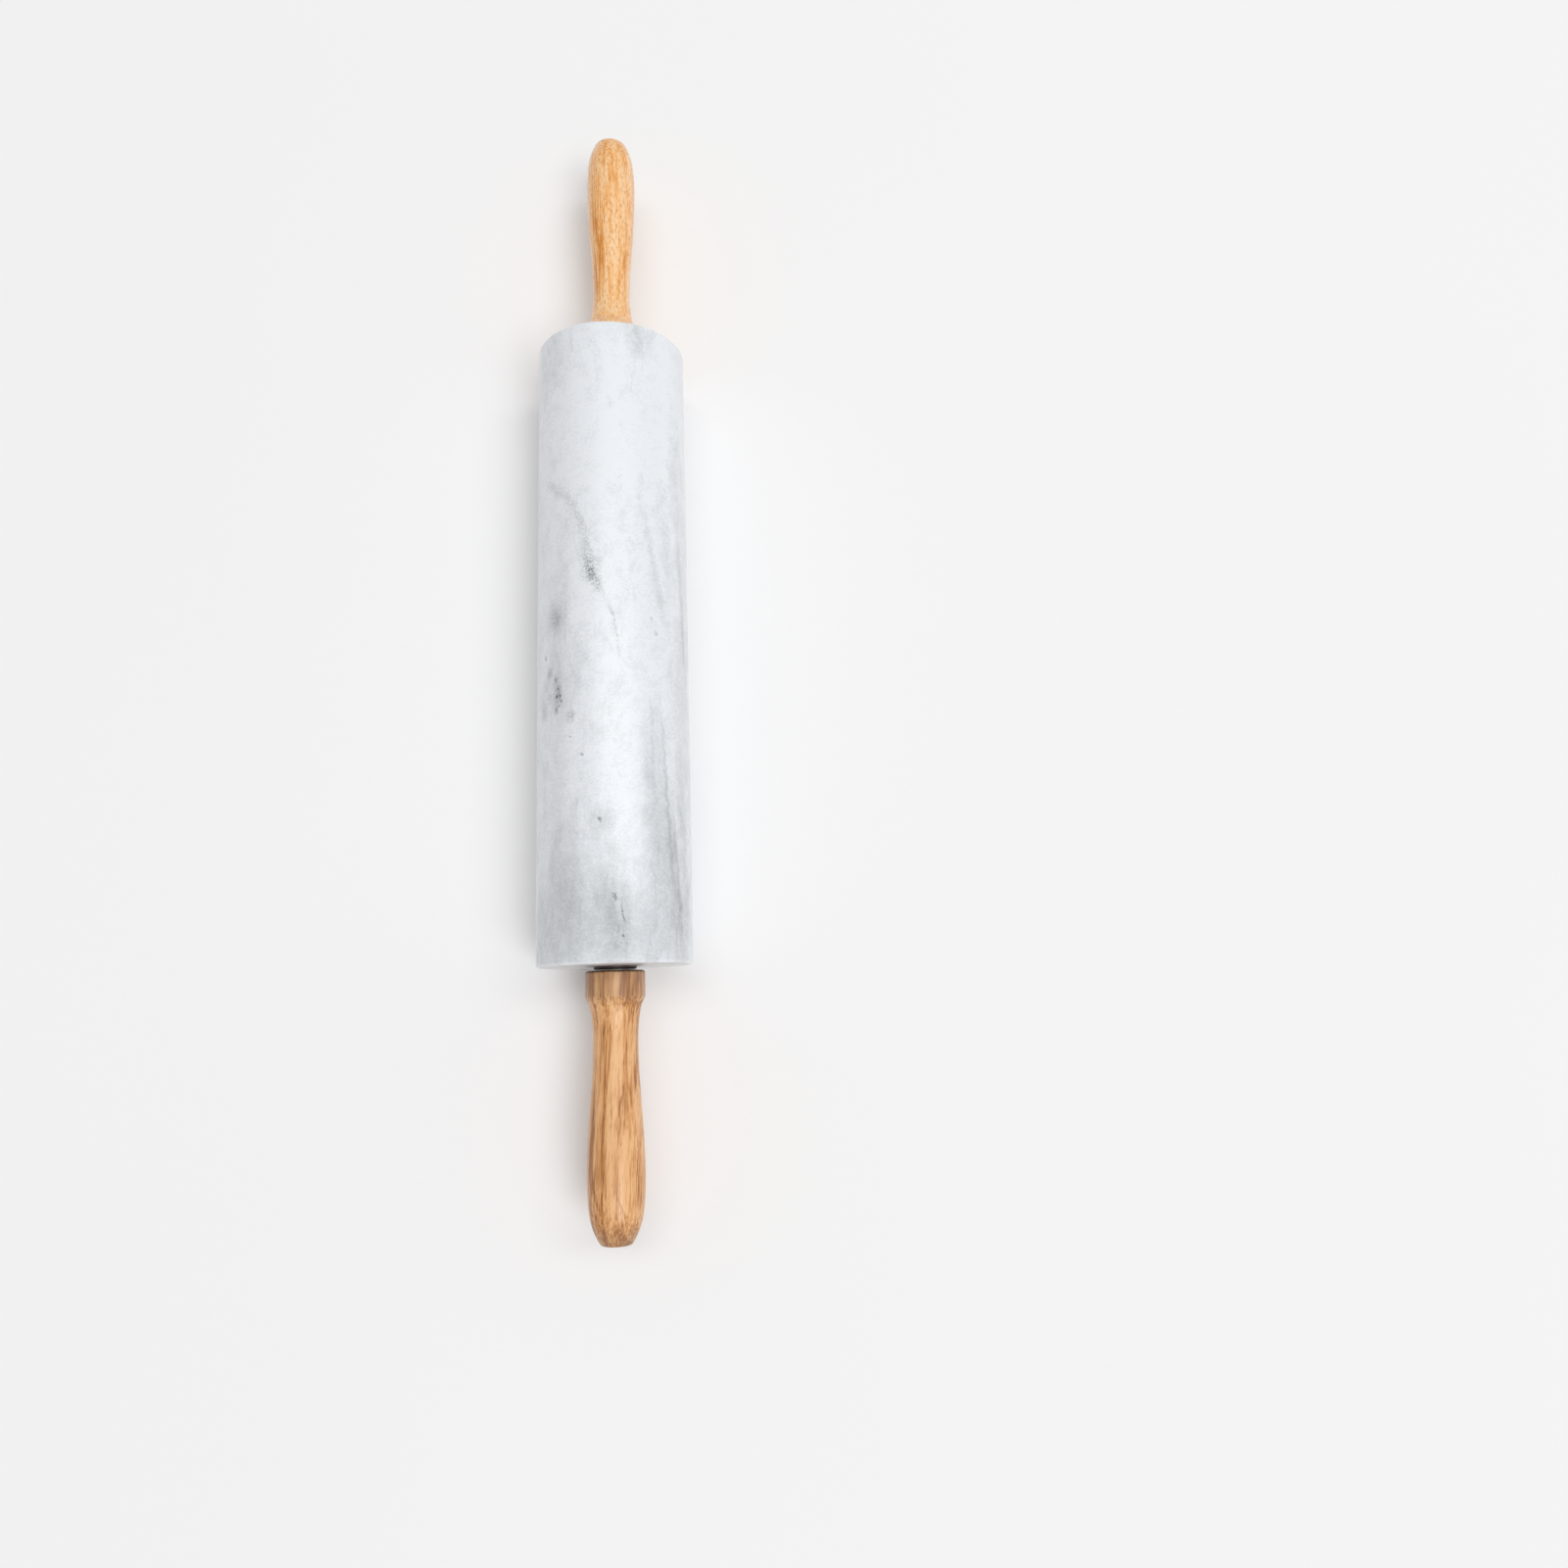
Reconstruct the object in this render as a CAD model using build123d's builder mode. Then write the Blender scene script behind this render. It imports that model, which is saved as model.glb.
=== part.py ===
from build123d import *

import os

# Marble rolling pin with two turned wooden handles on a steel rod that runs in nylon bushings.
# Units are millimetres. The pin's axis is Y, with the near handle towards -Y and +Z up, and the
# origin lies on the axis at the middle of the barrel.

os.makedirs("parts", exist_ok=True)

# Marble barrel
barrel_d = 60.0
barrel_length = 254.0
barrel_bore_d = 13.0
barrel_rim_radius = 1.5
bore_mouth_chamfer = 0.6

# Steel rod, with turned-down ends that carry the threads
rod_d = 8.0
thread_pitch_d = 5.35
thread_length = 18.0
thread_relief_width = 1.2
thread_relief_depth = 0.5
rod_end_chamfer = 0.8

# Nylon bushings, with ribs that wedge in the stone's bore
sleeve_length = 22.0
sleeve_rib_height = 0.35
sleeve_rib_radius = 0.8
sleeve_rib_count = 6
sleeve_lead_chamfer = 0.9
flange_thickness = 1.0
flange_lip = 1.75
flange_edge_chamfer = 0.25

# Steel thrust washers
washer_thickness = 0.5
washer_inset = 0.75
washer_edge_chamfer = 0.12

# Brass inserts, screwed into the handles with a blade in their slots
insert_d = 10.0
insert_length = 16.0
insert_lead_chamfer = 1.0
insert_slot_width = 1.6
insert_slot_depth = 1.8

# Turned handles, alike but for the diameters and the tip, since each was turned by itself
handle_length = 99.95
collar_d = 22.8
collar_length = 9.7
collar_edge_chamfer = 0.7
collar_foot_radius = 0.6
cone_length = 3.2
near_neck_d = 17.1
near_bulb_d = 21.75
near_tip_d = 11.4
near_tip_radius = 1.4
far_neck_d = 15.5
far_bulb_d = 20.35
far_tip_d = 12.4
far_tip_radius = 3.0

# Blind bore in each handle, for the insert and for the rod's end beyond it
pilot_drill_clearance = 0.6
pilot_drill_overrun = 4.0
drill_point_angle = 118.0

# Places along a handle and between its diameters, as shares
neck_place_share = 0.266
bulb_place_share = 0.767
shoulder_place_share = 0.50
near_shoulder_drop_share = 0.065
far_shoulder_drop_share = 0.045
cone_foot_share = 0.5
cove_slope_share = 0.26

# Clearances
running_gap = 0.06
end_play = 0.15
seat_gap = 0.03
thread_gap = 0.05
washer_bore_gap = 0.2

# Sizes that follow from the ones above
barrel_end = barrel_length / 2
flange_d = barrel_bore_d + 2 * flange_lip
washer_d = flange_d - 2 * washer_inset
collar_gap = flange_thickness + end_play + washer_thickness
shoulder_place = barrel_end + collar_gap
pilot_bore_d = thread_pitch_d + 2 * pilot_drill_clearance
pilot_depth = thread_length + pilot_drill_overrun


def end_plane(side, distance=0.0):
    """Plane for turned outlines: X is the radius and Y runs out from the barrel's end face."""
    return Plane(origin=(0, side * (barrel_end + distance), 0), x_dir=(1, 0, 0), z_dir=(0, 0, side))


def cross_plane(side, distance=0.0):
    """Plane square to the axis, at a distance out from the barrel's end face, facing outwards."""
    return Plane(origin=(0, side * (barrel_end + distance), 0), x_dir=(1, 0, 0), z_dir=(0, side, 0))


def outwards(side):
    """Direction along the pin's axis, away from the barrel."""
    return Axis((0, 0, 0), (0, side, 0))


def save(piece, name):
    """Label a finished piece and write it under its own name."""
    piece.label = name
    export_step(piece, f"parts/{name}.step")


def make_barrel():
    """Marble cylinder, core-drilled through, with its rims eased."""
    with BuildPart() as barrel:
        with BuildSketch(cross_plane(-1)):
            Circle(barrel_d / 2)
            Circle(barrel_bore_d / 2, mode=Mode.SUBTRACT)
        extrude(amount=-barrel_length)
        bore_mouths = barrel.edges().filter_by(GeomType.CIRCLE).group_by(SortBy.RADIUS)[0]
        chamfer(bore_mouths, length=bore_mouth_chamfer)
        rims = barrel.edges().filter_by(GeomType.CIRCLE).group_by(SortBy.RADIUS)[-1]
        fillet(rims, radius=barrel_rim_radius)
    save(barrel.part, "marble_barrel")


def make_rod():
    """Steel rod whose shoulders seat on the inserts in both handles."""
    thread_r = thread_pitch_d / 2
    relief_r = thread_r - thread_relief_depth
    rod_end = shoulder_place + thread_length
    with BuildPart() as rod:
        with BuildSketch(Plane.XY):
            with BuildLine():
                Polyline(
                    (0, 0),
                    (rod_d / 2, 0),
                    (rod_d / 2, shoulder_place),
                    (relief_r, shoulder_place),
                    (relief_r, shoulder_place + thread_relief_width),
                    (thread_r, shoulder_place + thread_relief_width + thread_relief_depth),
                    (thread_r, rod_end - rod_end_chamfer),
                    (thread_r - rod_end_chamfer, rod_end),
                    (0, rod_end),
                    close=True,
                )
            make_face()
        revolve(axis=Axis.Y)
        mirror(about=Plane.XZ)
    save(rod.part, "axle_rod")


def make_bushing(side, name):
    """Flanged nylon bushing: a ribbed sleeve in the stone's bore, a flange on the end face."""
    rib_tip_r = barrel_bore_d / 2 - seat_gap
    rod_bore_r = rod_d / 2 + running_gap
    with BuildPart() as bushing:
        with BuildSketch(cross_plane(side)):
            Circle(rib_tip_r - sleeve_rib_height)
            with PolarLocations(rib_tip_r - sleeve_rib_radius, sleeve_rib_count):
                Circle(sleeve_rib_radius)
        extrude(amount=-sleeve_length)
        with BuildSketch(end_plane(side, -sleeve_length)):
            with BuildLine():
                Polyline(
                    (rib_tip_r - sleeve_lead_chamfer, 0),
                    (rib_tip_r, 0),
                    (rib_tip_r, sleeve_lead_chamfer),
                    close=True,
                )
            make_face()
        revolve(axis=Axis.Y, mode=Mode.SUBTRACT)
        with BuildSketch(cross_plane(side)):
            Circle(flange_d / 2)
        extrude(amount=flange_thickness)
        flange_rims = bushing.edges().filter_by(GeomType.CIRCLE).group_by(SortBy.RADIUS)[-1]
        chamfer(flange_rims.sort_by(outwards(side))[-1], length=flange_edge_chamfer)
        with BuildSketch(cross_plane(side, flange_thickness)):
            Circle(rod_bore_r)
        extrude(amount=-(sleeve_length + flange_thickness), mode=Mode.SUBTRACT)
    save(bushing.part, name)


def make_washer(side, name):
    """Steel washer against the handle's collar, free of the bushing's flange by the end play."""
    with BuildPart() as washer:
        with BuildSketch(cross_plane(side, flange_thickness + end_play)):
            Circle(washer_d / 2)
            Circle(rod_d / 2 + washer_bore_gap, mode=Mode.SUBTRACT)
        extrude(amount=washer_thickness)
        outer_rims = washer.edges().filter_by(GeomType.CIRCLE).group_by(SortBy.RADIUS)[-1]
        chamfer(outer_rims, length=washer_edge_chamfer)
    save(washer.part, name)


def make_insert(side, name):
    """Brass insert, flush with the collar's face, slotted across it for the blade that drives it."""
    with BuildPart() as insert:
        with BuildSketch(cross_plane(side, collar_gap)):
            Circle(insert_d / 2)
        extrude(amount=insert_length)
        chamfer(insert.edges().sort_by(outwards(side))[-1], length=insert_lead_chamfer)
        with BuildSketch(cross_plane(side, collar_gap)):
            Rectangle(insert_d, insert_slot_width)
        extrude(amount=insert_slot_depth, mode=Mode.SUBTRACT)
        with BuildSketch(cross_plane(side, collar_gap)):
            Circle(thread_pitch_d / 2 + thread_gap)
        extrude(amount=insert_length, mode=Mode.SUBTRACT)
    save(insert.part, name)


def corner_at(outline, place):
    """The corner of a turned outline that lies nearest to a place."""
    return outline.vertices().sort_by_distance(place)[0]


def make_handle(side, name, neck_d, bulb_d, tip_d, tip_radius, shoulder_drop_share):
    """Turned handle: collar, cone, neck, bulb and flat tip, bored blind for the insert and the rod."""
    collar_top = (collar_d / 2, 0)
    collar_foot = (collar_d / 2, collar_length)
    cone_foot = (
        neck_d / 2 + cone_foot_share * (collar_d - neck_d) / 2,
        collar_length + cone_length,
    )
    neck = (neck_d / 2, neck_place_share * handle_length)
    bulb = (bulb_d / 2, bulb_place_share * handle_length)
    shoulder = (
        bulb_d / 2 * (1 - shoulder_drop_share),
        bulb[1] + shoulder_place_share * (handle_length - bulb[1]),
    )
    tip = (tip_d / 2, handle_length)
    pilot_r = pilot_bore_d / 2
    with BuildPart() as handle:
        with BuildSketch(end_plane(side, collar_gap)) as outline:
            with BuildLine():
                Polyline((0, 0), collar_top, collar_foot, cone_foot)
                neck_curve = Spline(
                    cone_foot,
                    neck,
                    bulb,
                    tangents=[(-cove_slope_share, 1), (0, 1), (0, 1)],
                )
                palm_arc = TangentArc(bulb, shoulder, tangent=neck_curve % 1)
                TangentArc(shoulder, tip, tangent=palm_arc % 1)
                Polyline(tip, (0, handle_length), (0, 0))
            make_face()
            chamfer(corner_at(outline, collar_top), length=collar_edge_chamfer)
            fillet(corner_at(outline, collar_foot), radius=collar_foot_radius)
            fillet(corner_at(outline, tip), radius=tip_radius)
        revolve(axis=Axis.Y)
        with BuildSketch(cross_plane(side, collar_gap)):
            Circle(insert_d / 2 + thread_gap)
        extrude(amount=insert_length, mode=Mode.SUBTRACT)
        with BuildSketch(end_plane(side, collar_gap)):
            with BuildLine():
                bore_wall = Polyline((0, 0), (pilot_r, 0), (pilot_r, pilot_depth))
                drill_point = PolarLine(
                    bore_wall @ 1,
                    pilot_r,
                    angle=90 + drill_point_angle / 2,
                    length_mode=LengthMode.HORIZONTAL,
                )
                Line(drill_point @ 1, (0, 0))
            make_face()
        revolve(axis=Axis.Y, mode=Mode.SUBTRACT)
    save(handle.part, name)


make_barrel()
make_rod()
make_handle(
    -1, "handle_near", near_neck_d, near_bulb_d, near_tip_d, near_tip_radius, near_shoulder_drop_share
)
make_handle(1, "handle_far", far_neck_d, far_bulb_d, far_tip_d, far_tip_radius, far_shoulder_drop_share)
for end_name, end_side in (("near", -1), ("far", 1)):
    make_bushing(end_side, f"bushing_{end_name}")
    make_washer(end_side, f"thrust_washer_{end_name}")
    make_insert(end_side, f"insert_{end_name}")
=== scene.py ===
import math

import bmesh
import bpy
import numpy as np
from bpy.props import FloatProperty, FloatVectorProperty, IntProperty, PointerProperty
from bpy.types import Operator, Panel, PropertyGroup
from mathutils import Euler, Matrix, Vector, noise


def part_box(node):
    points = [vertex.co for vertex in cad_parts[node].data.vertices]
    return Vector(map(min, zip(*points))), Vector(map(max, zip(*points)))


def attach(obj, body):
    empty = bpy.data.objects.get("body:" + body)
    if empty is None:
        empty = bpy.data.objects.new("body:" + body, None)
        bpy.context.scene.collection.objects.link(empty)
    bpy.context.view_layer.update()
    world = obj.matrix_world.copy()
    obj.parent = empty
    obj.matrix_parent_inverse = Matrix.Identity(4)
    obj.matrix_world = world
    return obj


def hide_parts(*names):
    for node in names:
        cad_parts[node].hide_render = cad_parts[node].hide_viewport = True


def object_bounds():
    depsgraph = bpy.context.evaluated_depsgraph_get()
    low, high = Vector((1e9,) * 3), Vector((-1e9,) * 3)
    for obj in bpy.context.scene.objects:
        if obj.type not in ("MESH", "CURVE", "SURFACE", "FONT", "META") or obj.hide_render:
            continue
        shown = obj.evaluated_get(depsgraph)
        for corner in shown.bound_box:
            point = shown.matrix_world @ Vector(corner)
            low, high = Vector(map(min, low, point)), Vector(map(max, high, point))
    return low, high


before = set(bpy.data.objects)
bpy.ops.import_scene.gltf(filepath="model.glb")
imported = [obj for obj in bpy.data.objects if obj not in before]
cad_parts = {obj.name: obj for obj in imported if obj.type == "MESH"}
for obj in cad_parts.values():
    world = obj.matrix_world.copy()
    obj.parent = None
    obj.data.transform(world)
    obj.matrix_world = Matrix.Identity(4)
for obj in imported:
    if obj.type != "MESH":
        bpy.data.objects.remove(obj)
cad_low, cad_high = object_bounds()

bl_info = {
    "name": "Marble rolling pin",
    "version": (1, 0, 0),
    "blender": (4, 5, 0),
    "location": "View3D > Sidebar > Rolling pin",
    "description": "Dresses the rolling pin's barrel, handles and fittings, and sets up the studio",
    "category": "Add Mesh",
}

MM_PER_METRE = 1000.0

# Limits for the turned meshes, in metres and degrees. Rows of an outline nearer than SAME_ROW count
# as one, a radius below ON_AXIS lies on the spin axis, and an edge that bends by more than
# SHARP_BEND stays sharp. A bore's points lie within BORE_SHARE of the widest radius, and a handle's
# also within BLIND_BORE of its collar's face. COLLAR_LENGTH is a length that lies wholly on the
# collar. WAVES_ROUND is how many soft waves of unevenness cross a piece from its axis to its side.
SAME_ROW = 0.00002
ON_AXIS = 1e-7
SHARP_BEND = 30.0
BORE_SHARE = 0.6
BLIND_BORE = 0.030
COLLAR_LENGTH = 0.008
WAVES_ROUND = 1.3

# Each mark is one soft oval on a surface unrolled about the spin axis: millimetres around from the
# top, millimetres along, half width, half length, lean in degrees, and depth, which is below zero
# for a paler place. It fades out at MARK_EDGE times its half sizes. The stone's marks count along
# from the middle of the barrel.
MARK_EDGE = 1.6
STONE_CLOUDS_AND_SHADE = (
    (-20, 90, 12.0, 34.0, 0, -0.05),
    (-22, 112, 9.0, 12.0, 0, 0.12),
    (16, 120, 5.0, 8.0, 0, 0.16),
    (-21, 6, 6.5, 8.5, 10, 0.20),
    (-21, -22, 8.0, 11.0, 0, 0.12),
    (-1, -74, 5.0, 6.0, 0, 0.14),
    (2, -92, 6.0, 20.0, 8, 0.14),
    (5, -114, 8.0, 17.0, 8, 0.22),
    (-17, -84, 6.0, 26.0, 4, 0.18),
    (-12, -104, 11.0, 17.0, 0, 0.15),
    (17, -62, 3.0, 36.0, 3, 0.14),
    (22, -62, 5.0, 34.0, 4, 0.20),
    (24, -88, 6.0, 30.0, 6, 0.16),
    (29, -92, 2.6, 26.0, 8, 0.20),
    (33, -104, 7.0, 30.0, 3, 0.18),
    (36, -80, 3.0, 30.0, 5, 0.18),
    (17, 44, 1.8, 18.0, 9, 0.12),
    (22, 20, 1.6, 16.0, 12, 0.16),
    (27, 36, 3.6, 24.0, 3, 0.15),
    (33, 60, 3.2, 28.0, 3, 0.18),
    (35, -20, 5.0, 44.0, 2, 0.14),
    (38, 8, 1.8, 26.0, 6, 0.26),
    # The broad oval across the near end is painted shade, which darkens that whole end of the
    # barrel
    (0, -116, 46.0, 22.0, 0, 0.22),
    (-21, -6, 6.0, 60.0, 0, 0.10),
    (-20, -96, 11.0, 34.0, 0, 0.13),
    (28, -30, 9.0, 60.0, 0, 0.06),
    (14, -100, 14.0, 26.0, 0, 0.05),
    (8, 98, 17.0, 36.0, 0, -0.08),
    (19.2, -50, 0.9, 26.0, 2, 0.13),
    (25.5, -62, 0.8, 32.0, 4, 0.24),
    (31, -90, 1.0, 26.0, 6, 0.26),
)
STONE_MARKS = (
    # A vein that comes down from the left and ends in a dark smudge
    (-24, 61, 2.4, 3.4, 40, 0.26),
    (-19, 57, 2.2, 4.0, 45, 0.28),
    (-13.5, 51, 2.2, 5.0, 30, 0.24),
    (-9, 44, 2.0, 5.0, 22, 0.22),
    (-7, 36, 2.2, 5.0, 14, 0.24),
    (-4.8, 24, 3.4, 9.0, 12, 0.46),
    (-4.6, 22, 1.8, 5.0, 12, 0.36),
    (-1, 16, 1.5, 4.5, 24, 0.36),
    (3.4, 5, 0.8, 4.0, 15, 0.32),
    (5.4, -4, 0.6, 9.0, 10, 0.22),
    # Smudges down the left side, the middle one nearly black in places
    (-21, 6, 4.0, 5.0, 10, 0.26),
    (-27, -9, 0.9, 1.1, 0, 0.75),
    (-24, -16, 1.6, 2.2, 0, 0.42),
    (-20, -19, 1.2, 1.4, 0, 0.40),
    (-18.8, -25, 2.2, 4.6, 6, 0.34),
    (-18.9, -22.5, 0.6, 0.6, 0, 0.95),
    (-19.9, -25.4, 0.5, 0.5, 0, 0.85),
    (-18.2, -25.6, 0.6, 0.7, 0, 1.00),
    (-17.5, -28.0, 0.6, 0.6, 0, 1.00),
    (-18.3, -30.2, 0.5, 0.5, 0, 0.80),
    (-20, -31, 1.4, 1.6, 0, 0.40),
    (-24, -26, 1.6, 2.4, 0, 0.30),
    (-13, -34, 1.8, 2.6, 0, 0.34),
    (-29, -31, 2.8, 3.5, 0, 0.30),
    # Single dark grains
    (-13, -43, 0.5, 0.6, 0, 0.60),
    (-8, -50, 0.6, 0.6, 0, 1.00),
    (-1, -74, 0.8, 0.9, 0, 0.80),
    (4, -103, 0.8, 1.4, 10, 0.85),
    (7, -109, 0.35, 4.5, 8, 0.60),
    (7, -117, 0.5, 0.5, 0, 0.80),
    (3, 92, 1.2, 3.0, 10, 0.20),
    (19, 4, 0.8, 1.0, 0, 0.30),
    (21, -2, 1.2, 1.6, 0, 0.30),
)

# The woods' marks count along from the collar's face, and around at GRAIN_RADIUS millimetres.
GRAIN_RADIUS = 10.0
NEAR_GRAIN_AND_PAINTED_LIGHT = (
    # Collar: thin grain stripes, and wide dark bands at both sides that are painted shade
    (-7.0, 5, 0.6, 5.0, 0, 0.25),
    (-0.7, 5, 0.4, 5.0, 0, 0.20),
    (2.0, 5, 0.9, 5.5, 0, -0.20),
    (5.4, 5, 0.5, 5.0, 0, 0.28),
    (-10.0, 5, 3.0, 5.5, 0, 0.40),
    (10.5, 5, 3.0, 5.5, 0, 0.45),
    # Cone
    (-3.5, 12.5, 0.8, 1.2, 0, 0.35),
    (1.0, 13.5, 0.6, 1.0, 0, 0.35),
    (5.0, 12.8, 0.9, 1.2, 0, 0.35),
    # Neck
    (-4.0, 27, 2.2, 12.0, 0, 0.20),
    (5.5, 28, 1.0, 13.0, 0, 0.28),
    (3.2, 47, 0.5, 10.0, 9, 0.34),
    (-8.9, 28, 0.5, 10.0, 0, -0.20),
    (0.7, 27, 0.8, 10.0, 0, -0.16),
    (8.4, 28, 1.6, 12.0, 0, -0.24),
    (-3.0, 55, 0.9, 2.2, 0, 0.30),
    # Bulb: wide dark bands down both sides are painted shade, the pale bands near the top painted
    # highlight, and the thin lines grain
    (-7.5, 74, 2.4, 20.0, 0, 0.70),
    (-3.4, 76, 1.2, 20.0, 0, 0.28),
    (-0.3, 79, 0.8, 19.0, 0, -0.30),
    (1.6, 78, 0.35, 16.0, 3, 0.30),
    (6.3, 76, 0.4, 16.0, -2, 0.30),
    (3.6, 68, 1.6, 17.0, 0, -0.26),
    (3.9, 88, 0.45, 7.5, -19, 0.40),
    (9.5, 78, 2.0, 18.0, 0, 0.32),
)
FAR_GRAIN_AND_PAINTED_LIGHT = (
    # The dark band down the left side is painted shade and the pale band beside the top a painted
    # highlight; the rest are grain
    (-6.0, 47, 3.6, 22.0, 0, 0.58),
    (2.6, 48, 2.2, 19.0, 0, -0.44),
    (9.6, 40, 1.6, 12.0, 0, 0.24),
    (-1.2, 90, 3.0, 5.0, 0, 0.14),
    (2.0, 17, 6.0, 6.0, 0, -0.20),
    (7.0, 74, 2.6, 16.0, 0, -0.14),
)

# Soft noises that push the marks about: the scale of each, per millimetre, and its reach in
# millimetres
STONE_DRIFTS = ((0.22, 3.4), (1.1, 0.9))
GRAIN_DRIFTS = ((0.30, 1.6), (1.2, 0.6))

# The stone's bedding, along which its streaks run: the folds' scale per millimetre and reach in
# millimetres, the lean in radians, and the width of a streak as a share of its length
BEDDING_FOLDS = (0.03, 22.0)
BEDDING_LEAN = (0.10, 0.0, -0.09)
BEDDING_STRETCH = 0.20

# How much each layer of its pattern darkens the stone: at its strongest, or at its two ends
STONE_LAYERS = {
    "clouds": 0.13,
    "streaks": 0.12,
    "threads": 0.10,
    "mottle": (-0.035, 0.06),
    "grains": (-0.045, 0.045),
    "crystals": (0.03, -0.05),
    "placed_clouds_and_shade": 0.72,
    # The rims' paler band is painted highlight, and the end faces' darkening is painted shade
    "painted_rim_highlight": -0.12,
    "painted_end_shade": 0.24,
    "placed_marks": 0.74,
}

# Where the rim's painted highlight and the end face's painted shade set in and are complete,
# in millimetres from the end
RIM_HIGHLIGHT_BAND = (1.3, 0.5)
END_SHADE_BAND = (0.12, 0.02)

# The width of the patterns in both woods as a share of their length along the grain
GRAIN_STRETCH = 0.10
STREAK_STRETCH = 0.030
FIBRE_STRETCH = 0.018

# The tone, between the pale colour's 0 and the dark colour's 1, that shows the middle colour
MIDDLE_TONE = 0.45

# Where the wood changes towards its ends: millimetres from the collar's face and from the tip
COLLAR_FADE = (8.6, 14.0)
# The tip's stretch of painted shade
PAINTED_TIP_SHADE = (0.0, 13.0)
DULL_TIP_FADE = (0.0, 11.0)
BURNT_BAND = (0.45, 1.05)

# The figure of each wood. The pith is given in millimetres to the right of the spin axis and above
# it, ring widths and wander in millimetres, scales per millimetre, and the lean in radians. A pore
# is pore_stretch times as wide as long, and opens where its noise is above pore_level. The coat is
# the strength of the clear finish. The other numbers are shares by which the wood darkens or dulls;
# the tip's darkening is painted shade, where the tip turns away from the light.
NEAR_WOOD = {
    "pith": (-19.0, -14.0),
    "grain_lean": (0.015, 0.0, 0.050),
    "ring_width": 5.6,
    "ring_depth": 0.45,
    "wander": 3.2,
    "streaks": 0.36,
    "blotch_scale": 0.33,
    "blotches": 0.16,
    "depth": 0.08,
    "collar": 0.36,
    # Painted shade at the tip
    "tip": 0.50,
    "dull": 0.34,
    "coat": 0.45,
    "pore_stretch": 0.07,
    "pore_scale": 2.8,
    "pore_level": 0.61,
    "pore_depth": 0.35,
    "marks": NEAR_GRAIN_AND_PAINTED_LIGHT,
}
FAR_WOOD = {
    "pith": (31.0, -22.0),
    "grain_lean": (-0.02, 0.0, -0.012),
    "ring_width": 5.7,
    "ring_depth": 0.18,
    "wander": 2.4,
    "streaks": 0.28,
    "blotch_scale": 0.42,
    "blotches": 0.24,
    "depth": 0.14,
    "collar": 0.10,
    # Painted shade at the tip
    "tip": 0.05,
    "dull": 0.08,
    "coat": 0.90,
    "pore_stretch": 0.14,
    "pore_scale": 2.9,
    "pore_level": 0.58,
    "pore_depth": 0.80,
    "marks": FAR_GRAIN_AND_PAINTED_LIGHT,
}

# How much of a colour's strength is left in burnt wood, stained metal and the floor's duller places
BURNT_SHARE = 0.16
STAINED_SHARE = 0.72
FLOOR_DULLER = 0.985


class BarrelSettings(PropertyGroup):
    """Sizes and colours of the marble barrel."""

    facets: IntProperty(
        name="Facets", description="Flat faces in one turn of the barrel",
        default=288, min=48, max=720,
    )
    row_length: FloatProperty(
        name="Row length",
        description="Distance between rows of faces along the barrel",
        default=0.0015, min=0.0005, max=0.02, unit="LENGTH",
    )
    waviness: FloatProperty(
        name="Waviness",
        description="How far the honed face strays from a true cylinder",
        default=0.00003, min=0.0, max=0.0005, unit="LENGTH",
    )
    stone_colour: FloatVectorProperty(
        name="Stone", description="Colour of the pale ground of the stone",
        subtype="COLOR", default=(0.848, 0.876, 0.912), min=0.0, max=1.0,
    )
    vein_colour: FloatVectorProperty(
        name="Veins", description="Colour of the darkest veins and grains",
        subtype="COLOR", default=(0.13, 0.145, 0.15), min=0.0, max=1.0,
    )
    roughness: FloatProperty(
        name="Roughness", description="How dull the honing leaves the stone",
        subtype="FACTOR", default=0.36, min=0.0, max=1.0,
    )


class NearHandleSettings(PropertyGroup):
    """Sizes and colours of the browner handle."""

    facets: IntProperty(
        name="Facets", description="Flat faces in one turn of the handle",
        default=144, min=24, max=360,
    )
    row_length: FloatProperty(
        name="Row length",
        description="Distance between rows of faces along the handle",
        default=0.0004, min=0.0002, max=0.005, unit="LENGTH",
    )
    unevenness: FloatProperty(
        name="Unevenness",
        description="How far sanding by hand leaves the handle from a true turning",
        default=0.00005, min=0.0, max=0.0005, unit="LENGTH",
    )
    light_colour: FloatVectorProperty(
        name="Early wood", description="Colour of the pale part of each year's ring",
        subtype="COLOR", default=(0.86, 0.50, 0.24), min=0.0, max=1.0,
    )
    middle_colour: FloatVectorProperty(
        name="Wood", description="Colour that most of the wood has",
        subtype="COLOR", default=(0.69, 0.335, 0.125), min=0.0, max=1.0,
    )
    dark_colour: FloatVectorProperty(
        name="Late wood", description="Colour of the dark line that ends each year's ring",
        subtype="COLOR", default=(0.33, 0.118, 0.026), min=0.0, max=1.0,
    )
    handled_colour: FloatVectorProperty(
        name="Handled wood",
        description="Duller colour that use leaves at both ends of the handle",
        subtype="COLOR", default=(0.31, 0.225, 0.155), min=0.0, max=1.0,
    )


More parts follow.
